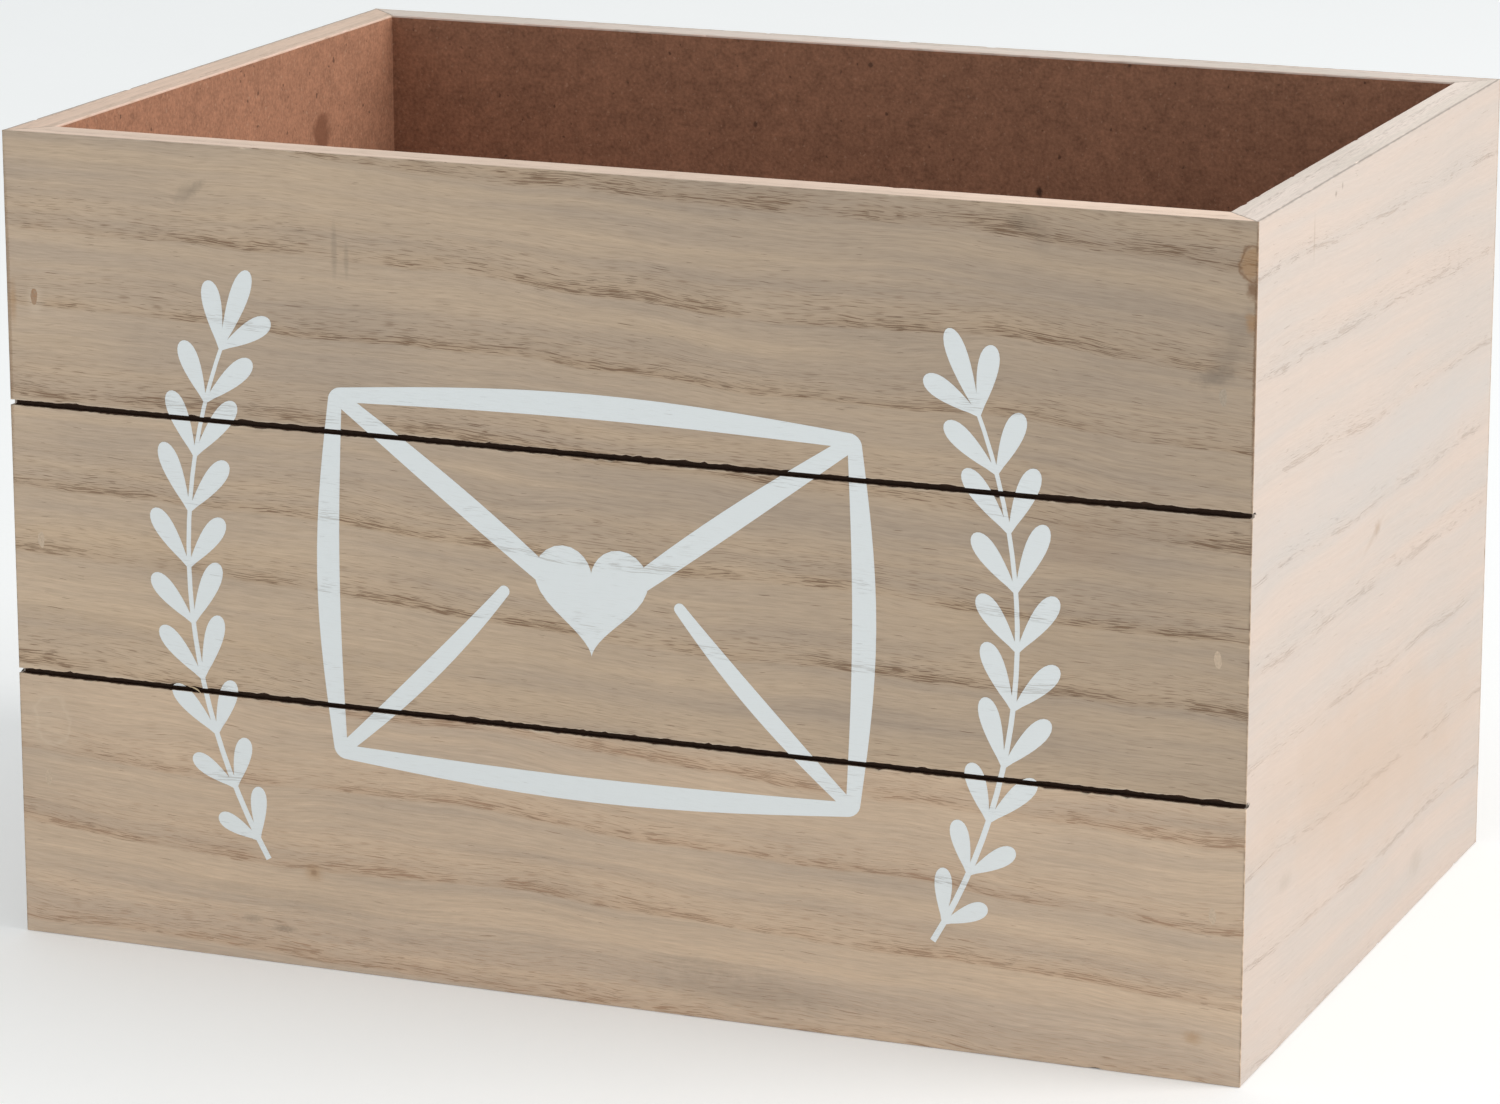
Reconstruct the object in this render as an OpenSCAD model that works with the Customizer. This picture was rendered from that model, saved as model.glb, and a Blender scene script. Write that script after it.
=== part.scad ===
// Wedding card box.
// An open-topped box of fibreboard walls, mitred at the four corners and faced with wood veneer.
// Two saw grooves split the front veneer into three planks. The floor panel is held in a slot
// cut round the inside of the walls. X runs across the front, -Y is the front, Z is up, and the
// origin is the middle of the underside.

/* [Box] */
// Width across the front
box_w = 300; // [280:10:400]
// Depth from front to back
box_d = 198; // [160:1:260]
// Height from the underside to the rim
box_h = 192; // [175:1:260]

/* [Walls] */
// Thickness of each fibreboard wall
core_t = 8.4; // [7.5:0.1:12]
// Thickness of the face veneers
veneer_t = 0.6; // [0.5:0.1:1]
// Thickness of the strips glued along the rim
band_t = 0.5; // [0.4:0.1:1]

/* [Front grooves] */
// Height of each saw groove
groove_h = 1.2; // [0.8:0.1:2.5]
// Depth of each saw groove below the front face
groove_d = 2; // [1.2:0.1:3]

/* [Floor panel] */
// Thickness of the floor panel
floor_t = 3; // [2:0.5:5]
// Height of the panel's underside above the underside of the walls
floor_z = 5; // [3:0.5:12]
// Depth of the slot that the panel sits in
slot_d = 3.5; // [2:0.1:4]
// Play between the panel's edge and the end of the slot
slot_play = 0.3; // [0.1:0.1:0.5]

/* [Corner brads] */
// Distance of the brads from the side faces
brad_inset = 7; // [6:0.1:7.2]
// Length of a brad with its head
brad_len = 25; // [18:1:32]
// Width of the wire and of the head
brad_w = 1.2; // [1:0.1:1.4]
// Height of the wire
brad_wire_h = 1; // [0.8:0.1:1.2]
// Height of the head
brad_head_h = 3; // [2:0.1:3.5]
// Thickness of the head
brad_head_t = 0.8; // [0.6:0.1:1]
// How far the heads are driven below the face
brad_set = 1.5; // [1:0.1:2]

/* [Painted pattern] */
// Thickness of the paint film
paint_t = 0.1; // [0.1:0.05:0.2]
// Sideways shift of the whole pattern on the front face
pattern_x = -3.5; // [-8:0.5:8]
// Height of a sprig from its foot to the tip of its last leaf
sprig_h = 140; // [110:1:145]
// How far a stem bows outwards
sprig_bow = 19; // [10:1:24]
// Distance from the middle of the pattern to the ends of each sprig
sprig_reach = 82; // [80:1:90]
// Height of the foot of each stem above the underside
sprig_z = 25; // [15:1:28]
// Number of leaf pairs on a sprig
leaf_pairs = 10; // [7:1:12]
// Width of the envelope drawing
envelope_w = 126; // [100:1:130]
// Height of the envelope drawing
envelope_h = 84; // [70:1:96]
// Height of the envelope's lower edge above the underside
envelope_z = 53; // [40:1:60]
// Breadth of a full brush stroke
stroke_w = 5.4; // [4:0.2:6]

/* [Hidden] */
// Wall and groove places
wall_t = core_t + veneer_t;
core_h = box_h - band_t;
front_y = -box_d / 2;
plank_h = (box_h - 2 * groove_h) / 3;
plank_pitch = plank_h + groove_h;

// The floor panel fills the inside and reaches into the slots
floor_w = box_w - 2 * wall_t + 2 * (slot_d - slot_play);
floor_d = box_d - 2 * wall_t + 2 * (slot_d - slot_play);

// One brad goes through each plank height at each corner
brad_rows = [0.2, 0.5, 0.8];

// Tool bodies reach this far past the faces that they cut
over = 1;

// A leaf's shape: how many steps along each side, and its greatest breadth before scaling
leaf_steps = 11;
leaf_peak = 0.65;
// Leaf length and breadth at the foot of a sprig, half way up and at its tip
leaf_len = [11.5, 16, 15.5];
leaf_w = [4, 4.9, 4.7];
tip_leaf_len = 20;
// Angle between a leaf and the stem, and how much the leaves differ from each other
leaf_angle = 33;
leaf_sway = 5;
sway_turn = 48;
// Breadth of the stem at its foot, and of the stem and the leaves' stalks where they are thinnest
stem_w = 1.4;
stalk_w = 0.9;
stem_steps = 24;
// Shares of a sprig's arc: the first and last leaf pair, and the end of the stem
first_pair = 0.035;
last_pair = 0.85;
stem_end = 0.9;
// A stem follows an arc of this radius, over this angle to each side of its middle
stem_r = (pow(sprig_h / 2, 2) + pow(sprig_bow, 2)) / (2 * sprig_bow);
stem_half = asin(sprig_h / 2 / stem_r);

// Steps along a brush stroke and round its end, and the end's breadth as a share of the full breadth
stroke_steps = 14;
cap_steps = 8;
stroke_end = 0.62;

// Points of the envelope drawing, as shares of its half width and half height
seal_point = [0, -0.1];
heart_point = [0, 0.04];
flap_bend = [0.42, 0.4];
fold_bend = [0.62, -0.5];
fold_end = [0.34, 0];
// Bow of the outside and the inside of its frame, and the radius of its outer and inner corners
frame_bow = [3.5, 1.2];
frame_r = [3.2, 0.8];
// Breadth of the heart as a share of the width, and of a fold as a share of a full stroke
heart_share = 0.22;
fold_stroke = 0.8;
// Points round the heart
heart_steps = 48;
// Corners of the frame, clockwise from the upper left, as shares of its half width and half height
frame_corners = [[-1, 1], [1, 1], [1, -1], [-1, -1]];

// ---- Fibreboard walls ----

// Plan of one mitred wall strip whose outer face looks along -Y
module mitred_strip(half_length, face) {
    polygon([
        [-half_length, -face],
        [half_length, -face],
        [half_length - core_t, core_t - face],
        [core_t - half_length, core_t - face]
    ]);
}

// The same plan for the front and rear walls, or for the side walls
module long_strip() {
    mitred_strip(box_w / 2 - veneer_t, box_d / 2 - veneer_t);
}

module short_strip() {
    mitred_strip(box_d / 2 - veneer_t, box_w / 2 - veneer_t);
}

// Saw grooves across the whole front, right through both front corners
module groove_cuts() {
    for (i = [1, 2])
        translate([-box_w / 2 - over, front_y - over, i * plank_pitch - groove_h])
            cube([box_w + 2 * over, groove_d + over, groove_h]);
}

// Slot round the inside of the walls for the floor panel
module floor_slot() {
    w = floor_w + 2 * slot_play;
    d = floor_d + 2 * slot_play;
    translate([-w / 2, -d / 2, floor_z])
        cube([w, d, floor_t]);
}

// Everything that is cut out of the four walls
module wall_cuts() {
    groove_cuts();
    floor_slot();
    brad_holes();
    rotate([0, 0, 180])
        brad_holes();
}

module front_core() {
    color("#8a5c45")
        difference() {
            linear_extrude(core_h)
                long_strip();
            wall_cuts();
        }
}

module rear_core() {
    color("#8a5c45")
        difference() {
            rotate([0, 0, 180])
                linear_extrude(core_h)
                    long_strip();
            wall_cuts();
        }
}

module left_core() {
    color("#a5735a")
        difference() {
            rotate([0, 0, -90])
                linear_extrude(core_h)
                    short_strip();
            wall_cuts();
        }
}

module right_core() {
    color("#a5735a")
        difference() {
            rotate([0, 0, 90])
                linear_extrude(core_h)
                    short_strip();
            wall_cuts();
        }
}

module floor_panel() {
    color("#94654c")
        translate([-floor_w / 2, -floor_d / 2, floor_z])
            cube([floor_w, floor_d, floor_t]);
}

// ---- Veneers ----

// One plank of the front veneer, counted from the bottom
module front_plank(index) {
    color("#b3a28b")
        difference() {
            translate([-box_w / 2, front_y, index * plank_pitch])
                cube([box_w, veneer_t, plank_h]);
            brad_holes();
        }
}

module front_plank_upper() {
    front_plank(2);
}

module front_plank_middle() {
    front_plank(1);
}

module front_plank_lower() {
    front_plank(0);
}

// Veneer on a side wall, between the front and rear veneers and nicked by the grooves
module side_veneer(x) {
    color("#e4d6ca")
        difference() {
            translate([x, front_y + veneer_t, 0])
                cube([veneer_t, box_d - 2 * veneer_t, box_h]);
            groove_cuts();
        }
}

module left_veneer() {
    side_veneer(-box_w / 2);
}

module right_veneer() {
    side_veneer(box_w / 2 - veneer_t);
}

module rear_veneer() {
    color("#c9b8a2")
        difference() {
            translate([-box_w / 2, box_d / 2 - veneer_t, 0])
                cube([box_w, veneer_t, box_h]);
            rotate([0, 0, 180])
                brad_holes();
        }
}

// ---- Rim ----

// A strip of solid wood on top of one wall, mitred at both ends
module rim_band(turn) {
    color("#e2cfbc")
        translate([0, 0, core_h])
            rotate([0, 0, turn])
                linear_extrude(band_t)
                    children();
}

module rim_band_front() {
    rim_band(0)
        long_strip();
}

module rim_band_rear() {
    rim_band(180)
        long_strip();
}

module rim_band_left() {
    rim_band(-90)
        short_strip();
}

module rim_band_right() {
    rim_band(90)
        short_strip();
}

// ---- Corner brads ----

// Puts its children at each brad of the front wall, with the face at y = 0 and the wire along +Y
module at_brads() {
    for (side = [-1, 1], row = brad_rows)
        translate([side * (box_w / 2 - brad_inset), front_y, row * box_h])
            children();
}

// A bar of the brad's width, from one depth below the face to another
module brad_bar(height, from, to) {
    translate([-brad_w / 2, from, -height / 2])
        cube([brad_w, to - from, height]);
}

module brad_holes() {
    at_brads() {
        brad_bar(brad_head_h, -over, brad_set + brad_head_t);
        brad_bar(brad_wire_h, 0, brad_set + brad_len);
    }
}

// A nail of flat wire with a T-shaped head, driven below the face
module brad() {
    brad_bar(brad_head_h, brad_set, brad_set + brad_head_t);
    brad_bar(brad_wire_h, brad_set, brad_set + brad_len);
}

module front_brads() {
    color("#9a9a9c")
        at_brads()
            brad();
}

module rear_brads() {
    rotate([0, 0, 180])
        front_brads();
}

// Wood filler over each sunk head, level with the face
module front_brad_filler() {
    color("#7d6449")
        at_brads()
            brad_bar(brad_head_h, 0, brad_set);
}

module rear_brad_filler() {
    rotate([0, 0, 180])
        front_brad_filler();
}

// ---- Painted pattern ----

// Lays a painted drawing, x across and y up, on the front face, broken by the grooves
module on_front() {
    color("#f2f4f4")
        difference() {
            translate([pattern_x, front_y, 0])
                rotate([90, 0, 0])
                    children();
            groove_cuts();
        }
}

// A dab of paint with the outline of its children
module dab() {
    linear_extrude(paint_t)
        children();
}

function mix(a, b, t) = a + (b - a) * t;

// Value at t on a curve that starts at v[0], is v[1] half way and ends at v[2]
function swell(v, t) = t < 0.5 ? mix(v[0], v[1], sin(180 * t)) : mix(v[2], v[1], sin(180 * t));

// Half breadth of a leaf of unit breadth at t from its foot to its round tip
function leaf_half(t) = pow(t, 0.75) * sqrt(1 - pow(t, 3.6)) / leaf_peak / 2;

// One side of a leaf that grows along +Y, with its points in the given order
function leaf_side(length, breadth, side, order) = [
    for (i = order)
        let (t = sin(90 * i / leaf_steps))
            [side * max(breadth * leaf_half(t), t < 0.5 ? stalk_w / 2 : 0), t * length]
];

module leaf(length, breadth) {
    up = [0 : leaf_steps];
    down = [leaf_steps - 1 : -1 : 0];
    dab()
        polygon(concat(leaf_side(length, breadth, 1, up), leaf_side(length, breadth, -1, down)));
}

// Point at t along an arc whose ends stand one above the other and which bows towards -X,
// moved outwards along the radius by off
function stem_point(t, off) =
    let (a = mix(-stem_half, stem_half, t))
        [stem_r * cos(stem_half) - (stem_r + off) * cos(a), sprig_h / 2 + (stem_r + off) * sin(a)];

// One edge of a stem that thins towards its top
function stem_edge(side, order) = [
    for (i = order)
        let (t = i / stem_steps)
            stem_point(t * stem_end, side * mix(stem_w, stalk_w, t) / 2)
];

module stem() {
    up = [0 : stem_steps];
    down = [stem_steps : -1 : 0];
    dab()
        polygon(concat(stem_edge(1, up), stem_edge(-1, down)));
}

// Puts its children on the stem at t, turned so that +Y follows the stem
module on_stem(t) {
    translate(stem_point(t, 0))
        rotate(-mix(-stem_half, stem_half, t))
            children();
}

// A stem with leaves in pairs and one more at its tip
module sprig() {
    stem();
    for (i = [0 : leaf_pairs - 1], side = [-1, 1]) {
        t = mix(first_pair, last_pair, i / (leaf_pairs - 1));
        sway = sin(sway_turn * (2 * i + side));
        on_stem(t)
            rotate(side * (leaf_angle + leaf_sway * sway))
                leaf(swell(leaf_len, t) - sway, swell(leaf_w, t));
    }
    on_stem(last_pair)
        leaf(tip_leaf_len, leaf_w[2]);
}

module sprig_left() {
    on_front()
        translate([-sprig_reach, sprig_z])
            sprig();
}

module sprig_right() {
    on_front()
        translate([sprig_reach, sprig_z])
            mirror([1, 0])
                sprig();
}

// Point at t on a curve from a to c that leans towards b, and the unit vector across it
function curve(a, b, c, t) = pow(1 - t, 2) * a + 2 * t * (1 - t) * b + t * t * c;

function across(a, b, c, t) =
    let (d = (1 - t) * (b - a) + t * (c - b))
        [-d[1], d[0]] / norm(d);

function stroke_edge(a, b, c, breadth, side, order) = [
    for (i = order)
        let (t = i / stroke_steps, share = mix(stroke_end, 1, sin(180 * t)))
            curve(a, b, c, t) + across(a, b, c, t) * side * breadth * share / 2
];

// Points round the end of a stroke
function stroke_cap(a, b, c, breadth) =
    let (n = across(a, b, c, 1), along = [n[1], -n[0]])
        [
            for (i = [1 : cap_steps - 1])
                let (w = 180 * i / cap_steps)
                    c + (n * cos(w) + along * sin(w)) * breadth * stroke_end / 2
        ];

// A brush stroke from a to c, full in the middle, with a square start and a round end
module stroke(a, b, c, breadth) {
    up = [0 : stroke_steps];
    down = [stroke_steps : -1 : 0];
    left_edge = stroke_edge(a, b, c, breadth, 1, up);
    right_edge = stroke_edge(a, b, c, breadth, -1, down);
    dab()
        polygon(concat(left_edge, stroke_cap(a, b, c, breadth), right_edge));
}

// Outline of a rectangle with bowed sides and round corners, clockwise from the upper left
function frame_outline(half, bow, r) = [
    for (i = [0 : 3])
        let (
            a = frame_corners[i],
            c = frame_corners[(i + 1) % 4],
            out = (a + c) / 2,
            along = (c - a) / 2,
            from = [a[0] * half[0], a[1] * half[1]] + along * r,
            to = [c[0] * half[0], c[1] * half[1]] - along * r
        )
            each concat(
                [
                    for (k = [0 : stroke_steps])
                        let (t = k / stroke_steps)
                            mix(from, to, t) + out * bow * sin(180 * t)
                ],
                [for (w = [15 : 15 : 75]) to - out * r + r * (out * cos(w) + along * sin(w))]
            )
];

// A heart of the given breadth with its point down
module heart(breadth) {
    points = [
        for (i = [0 : heart_steps - 1])
            let (a = i * 360 / heart_steps)
                [16 * pow(sin(a), 3), 13 * cos(a) - 5 * cos(2 * a) - 2 * cos(3 * a) - cos(4 * a)]
    ];
    dab()
        scale(breadth / 32)
            polygon(points);
}

// A point of the drawing from its shares of the half width and half height
function drawn(p) = [p[0] * envelope_w, p[1] * envelope_h] / 2;

// An envelope in brush strokes: its frame, the flap, two folds, and a heart for its seal
module envelope() {
    half = [envelope_w, envelope_h] / 2;
    margin = [1, 1] * stroke_w * stroke_end / 2;
    dab()
        difference() {
            polygon(frame_outline(half + margin, frame_bow[0], frame_r[0]));
            polygon(frame_outline(half - margin, frame_bow[1], frame_r[1]));
        }
    for (side = [-1, 1]) {
        // Flap, from an upper corner to the seal
        stroke(drawn([side, 1]), drawn([side * flap_bend[0], flap_bend[1]]), drawn(seal_point), stroke_w);
        // Fold, from a lower corner towards the seal
        stroke(drawn([side, -1]),
               drawn([side * fold_bend[0], fold_bend[1]]),
               drawn([side * fold_end[0], fold_end[1]]),
               stroke_w * fold_stroke);
    }
    translate(drawn(heart_point))
        heart(envelope_w * heart_share);
}

module envelope_motif() {
    on_front()
        translate([0, envelope_z + envelope_h / 2])
            envelope();
}

front_core();
rear_core();
left_core();
right_core();
floor_panel();
front_plank_upper();
front_plank_middle();
front_plank_lower();
left_veneer();
right_veneer();
rear_veneer();
rim_band_front();
rim_band_rear();
rim_band_left();
rim_band_right();
front_brads();
rear_brads();
front_brad_filler();
rear_brad_filler();
sprig_left();
sprig_right();
envelope_motif();
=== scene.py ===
"""Wedding card box: finely edged veneer and rim pieces, materials, floor, lights and camera.

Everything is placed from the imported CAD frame. Lengths in this script are metres, apart from
the grain settings and marks, which are millimetres because they describe small surface detail.
"""

import math
import random

import bmesh
import bpy
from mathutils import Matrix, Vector, noise


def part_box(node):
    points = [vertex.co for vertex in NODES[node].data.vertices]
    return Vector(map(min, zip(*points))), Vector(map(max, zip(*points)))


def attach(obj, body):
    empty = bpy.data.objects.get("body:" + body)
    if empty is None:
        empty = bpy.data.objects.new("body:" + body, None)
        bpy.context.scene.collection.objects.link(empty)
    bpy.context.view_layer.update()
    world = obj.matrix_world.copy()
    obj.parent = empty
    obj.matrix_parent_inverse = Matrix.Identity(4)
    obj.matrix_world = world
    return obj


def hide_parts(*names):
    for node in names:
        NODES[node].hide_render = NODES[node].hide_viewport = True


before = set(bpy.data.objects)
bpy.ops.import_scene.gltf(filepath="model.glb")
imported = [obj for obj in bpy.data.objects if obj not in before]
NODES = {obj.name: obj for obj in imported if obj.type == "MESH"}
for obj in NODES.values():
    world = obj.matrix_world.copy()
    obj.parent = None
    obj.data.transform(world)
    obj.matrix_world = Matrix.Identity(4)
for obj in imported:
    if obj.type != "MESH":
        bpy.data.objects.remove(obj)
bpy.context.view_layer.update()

MM = 0.001
FRONT_LOW, FRONT_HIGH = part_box("front_plank_lower")
_, UPPER_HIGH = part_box("front_plank_upper")
CORE_LOW, CORE_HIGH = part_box("front_core")
LEFT, RIGHT = FRONT_LOW.x, FRONT_HIGH.x
FRONT_Y = FRONT_LOW.y
BOX_H = UPPER_HIGH.z
WALL = CORE_HIGH.y - CORE_LOW.y
UP = (0, 0, 1)


# ---- Shader helpers ----


class Shader:
    """One node material. Its methods add nodes and return the last one's output socket."""

    def __init__(self, name):
        self.material = bpy.data.materials.new(name)
        self.material.use_nodes = True
        self.tree = self.material.node_tree
        self.tree.nodes.clear()
        place = self.add("ShaderNodeTexCoord").outputs["Object"]
        scaled = self.add("ShaderNodeVectorMath", [place], operation="SCALE")
        scaled.inputs["Scale"].default_value = 1 / MM
        self.place = scaled.outputs[0]
        split = self.add("ShaderNodeSeparateXYZ", [self.place])
        self.x, self.y, self.z = split.outputs

    def add(self, kind, inputs=(), **settings):
        node = self.tree.nodes.new(kind)
        for key, value in settings.items():
            setattr(node, key, value)
        for index, value in enumerate(inputs):
            self.put(node.inputs[index], value)
        return node

    def put(self, socket, value):
        if isinstance(value, bpy.types.NodeSocket):
            self.tree.links.new(value, socket)
        elif value is not None:
            socket.default_value = value

    def math(self, operation, a, b=0.0):
        return self.add("ShaderNodeMath", [a, b], operation=operation).outputs[0]

    def total(self, first, *rest):
        for value in rest:
            first = self.math("ADD", first, value)
        return first

    def times(self, first, *rest):
        for value in rest:
            first = self.math("MULTIPLY", first, value)
        return first

    def vector(self, x, y, z=0.0):
        return self.add("ShaderNodeCombineXYZ", [x, y, z]).outputs[0]

    def scaled(self, per_mm):
        """The place in mm, times a number per mm."""
        sockets = [self.place, (per_mm,) * 3]
        return self.add("ShaderNodeVectorMath", sockets, operation="MULTIPLY").outputs[0]

    def cells(self, along, across, cell, offset=0.0):
        """Coordinates with one unit per cell, which is a (length, breadth) pair."""
        return self.vector(self.times(along, 1 / cell[0]), self.times(across, 1 / cell[1]), offset)

    def noise(self, vector, detail=2.0):
        """Noise with a mean of 0.5 and one feature per unit of the vector."""
        node = self.add("ShaderNodeTexNoise", [vector])
        node.inputs["Scale"].default_value = 1.0
        node.inputs["Detail"].default_value = detail
        return node.outputs[0]

    def swing(self, vector, reach, detail=2.0):
        """Noise from about -reach to reach."""
        return self.times(self.math("SUBTRACT", self.noise(vector, detail), 0.5), 2 * reach)

    def rise(self, value, low, high, start=0.0, end=1.0):
        """A smooth step from start to end as value goes from low to high."""
        node = self.add("ShaderNodeMapRange", [value, low, high, start, end])
        node.interpolation_type = "SMOOTHSTEP"
        return node.outputs[0]

    def blend(self, share, a, b, kind="MIX"):
        """Colour a turned into colour b by share."""
        node = self.add("ShaderNodeMix", data_type="RGBA", blend_type=kind)
        sockets = [s for s in node.inputs if s.enabled]
        for socket, value in zip(sockets, (share, a, b)):
            self.put(socket, value)
        return next(s for s in node.outputs if s.enabled)

    def toned(self, colour, tone):
        """The colour made lighter or darker by a factor."""
        return self.blend(1.0, colour, self.vector(tone, tone, tone), "MULTIPLY")

    def edges(self, colour, wear_and_highlight, soiled):
        """The colour with the light and the soiled tones that the sheets carry at their edges; the
        light tone is worn wood and a painted highlight.
        """
        for name, tone in (("wear_and_highlight", wear_and_highlight), ("soiled", soiled)):
            share = self.add("ShaderNodeAttribute", attribute_name=name).outputs["Fac"]
            colour = self.blend(share, colour, tone)
        return colour

    def marked(self, colour, along, across, marks):
        """The colour with every mark of a list laid over it."""
        for mark in marks:
            colour = self.blend(self.spot(along, across, mark), colour, mark.colour)
        return colour

    def spot(self, along, across, mark):
        """Share from 0 outside to 1 inside a ragged patch, or on its outline if it is hollow."""
        right = self.math("SUBTRACT", along, mark.centre[0])
        up = self.math("SUBTRACT", across, mark.centre[1])
        cosine, sine = math.cos(mark.turn), math.sin(mark.turn)
        turned = self.total(self.times(right, cosine), self.times(up, sine))
        risen = self.total(self.times(up, cosine), self.times(right, -sine))
        u = self.times(turned, 2 / mark.size[0])
        v = self.times(risen, 2 / mark.size[1])
        away = self.math("SQRT", self.total(self.times(u, u), self.times(v, v)))
        grain = min(mark.size) / 2
        spread = self.cells(along, across, (grain, grain))
        away = self.total(away, self.swing(spread, mark.ragged))
        if mark.hollow:
            away = self.math("ABSOLUTE", self.math("SUBTRACT", away, 1.0))
            return self.rise(away, 0.0, mark.hollow, mark.strength, 0.0)
        return self.rise(away, 1 - mark.soft, 1 + mark.soft, mark.strength, 0.0)

    def finish(self, colour, roughness, height=None, depth=0.05, specular=0.3, metallic=0.0):
        """The finished material; depth is how far, in mm, one unit of height stands out."""
        shader = self.add("ShaderNodeBsdfPrincipled")
        self.put(shader.inputs["Base Color"], colour)
        self.put(shader.inputs["Roughness"], roughness)
        shader.inputs["Specular IOR Level"].default_value = specular
        shader.inputs["Metallic"].default_value = metallic
        if height is not None:
            bump = self.add("ShaderNodeBump")
            bump.inputs["Strength"].default_value = 1.0
            bump.inputs["Distance"].default_value = depth * MM
            self.put(bump.inputs["Height"], height)
            self.put(shader.inputs["Normal"], bump.outputs[0])
        output = self.add("ShaderNodeOutputMaterial")
        self.tree.links.new(shader.outputs[0], output.inputs[0])
        return self.material


def rgb(red, green, blue):
    return (red, green, blue, 1.0)


def shade(colour, share):
    """The colour with its three parts multiplied by share."""
    return rgb(*(share * part for part in colour[:3]))


class Mark:
    """A small stain or smudge: centre and size in mm, along and across the grain, turn in degrees."""

    def __init__(self, centre, size, colour, strength, soft=0.5, ragged=0.35, hollow=0.0, turn=0):
        self.centre = centre
        self.turn = math.radians(turn)
        self.size = size
        self.colour = colour
        self.strength = strength
        self.soft = soft
        self.ragged = ragged
        self.hollow = hollow


# ---- Wood ----


class Grain:
    """Settings of one veneer's grain, in mm. A cell is a length and a breadth of one feature."""

    bend_cell = (120, 55)
    ripple_cell = (26, 12)
    jitter_cell = (4.5, 1.8)
    patch_cell = (22, 9)
    fibre_cell = (40, 0.9)
    hair_cell = (6, 0.36)
    streak_cell = (150, 6)
    blotch_cell = (48, 26)
    speck_cell = (4.2, 0.23)
    long_dash = (9.0, 0.29)
    short_dash = (4.5, 0.17)
    ring_drift = 38
    tilt = 0.037
    ring = 21.0
    big_bend = 6.5
    small_bend = 1.1
    jitter = 0.2
    core = 0.17
    zone = 0.6
    seed = 0.0
    ring_tint = 0.48
    pore_share = 0.72
    fine_share = 0.25
    contrast = 1.0
    grey = rgb(0.515, 0.40, 0.305)
    warm = rgb(0.60, 0.452, 0.33)
    tint = rgb(0.49, 0.325, 0.195)
    pore = rgb(0.19, 0.10, 0.05)


def wood_rings(shader, along, across, grain):
    """Bent across-grain coordinate, the same with a fine jitter, place in the ring, patchiness."""
    seed = grain.seed
    bent = shader.total(
        across,
        shader.times(along, grain.tilt),
        shader.swing(shader.cells(along, across, grain.bend_cell, seed), grain.big_bend),
        shader.swing(shader.cells(along, across, grain.ripple_cell, seed + 3), grain.small_bend),
    )
    jitter = shader.cells(along, bent, grain.jitter_cell, seed + 9)
    shifted = shader.total(bent, shader.swing(jitter, grain.jitter, 1.0))
    drift = shader.vector(0.0, shader.times(bent, 1 / grain.ring_drift), seed + 5)
    phase = shader.total(shader.times(shifted, 1 / grain.ring), shader.swing(drift, 0.55))
    inside = shader.math("FRACT", phase)
    patches = shader.noise(shader.cells(along, bent, grain.patch_cell, seed + 7))
    patchy = shader.rise(patches, 0.3, 0.62)
    return bent, shifted, inside, patchy


def wood_pores(shader, along, bent, shifted, inside, patchy, grain):
    """Dark dashes, dense at the start of a ring, and fine faint ones between.

    Also returns the share of the ring's dense core, and of the wider zone that follows it.
    """
    seed = grain.seed
    before = shader.rise(inside, 0.93, 1.0)
    core = shader.math("MAXIMUM", shader.rise(inside, 0.02, grain.core, 1.0, 0.0), before)
    zone = shader.math("MAXIMUM", shader.rise(inside, 0.1, grain.zone, 1.0, 0.0), before)
    level = shader.total(
        0.82, shader.times(core, patchy, -0.17), shader.times(zone, patchy, -0.09)
    )
    dashes = []
    for cell, rarer, offset in ((grain.long_dash, 0.01, 10), (grain.short_dash, 0.0, 12)):
        pattern = shader.noise(shader.cells(along, shifted, cell, seed + offset), 0.0)
        start = shader.math("ADD", level, rarer)
        dashes.append(shader.rise(pattern, start, shader.math("ADD", start, 0.07)))
    big = shader.math("MAXIMUM", *dashes)
    specks = shader.noise(shader.cells(along, bent, grain.speck_cell, seed + 11), 0.0)
    fine = shader.times(
        shader.rise(specks, 0.52, 0.8), shader.total(0.6, shader.times(zone, 1.2))
    )
    return big, fine, core, zone


def wood(shader, along, across, grain, warmth=0.5):
    """Colour and height of a sawn veneer."""
    seed = grain.seed
    bent, shifted, inside, patchy = wood_rings(shader, along, across, grain)
    big, fine, core, zone = wood_pores(shader, along, bent, shifted, inside, patchy, grain)
    fibres = shader.swing(shader.cells(along, bent, grain.fibre_cell, seed + 13), 1.0, 4.0)
    hairs = shader.swing(shader.cells(along, bent, grain.hair_cell, seed + 15), 1.0, 2.0)
    streaks = shader.swing(shader.cells(along, bent, grain.streak_cell, seed + 17), 1.0)
    blotches = shader.swing(shader.cells(along, across, grain.blotch_cell, seed + 19), 1.0)
    share = shader.total(warmth, shader.times(streaks, 0.9), shader.times(blotches, 0.4))
    colour = shader.blend(shader.rise(share, 0.0, 1.0), grain.grey, grain.warm)
    tone = shader.total(
        1.0,
        shader.times(fibres, 0.17 * grain.contrast),
        shader.times(hairs, 0.17 * grain.contrast),
        shader.times(streaks, 0.08 * grain.contrast),
        shader.times(blotches, 0.07 * grain.contrast),
    )
    colour = shader.toned(colour, tone)
    ring = shader.times(
        shader.total(shader.times(core, 0.55), shader.times(zone, 0.3)),
        shader.total(0.3, shader.times(patchy, 0.7)),
        grain.ring_tint,
    )
    colour = shader.blend(ring, colour, grain.tint)
    dark = shader.math(
        "MAXIMUM", shader.times(big, grain.pore_share), shader.times(fine, grain.fine_share)
    )
    colour = shader.blend(dark, colour, grain.pore)
    height = shader.total(
        shader.times(fibres, 0.25), shader.times(big, -1.0), shader.times(fine, -0.3)
    )
    return colour, height


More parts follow.
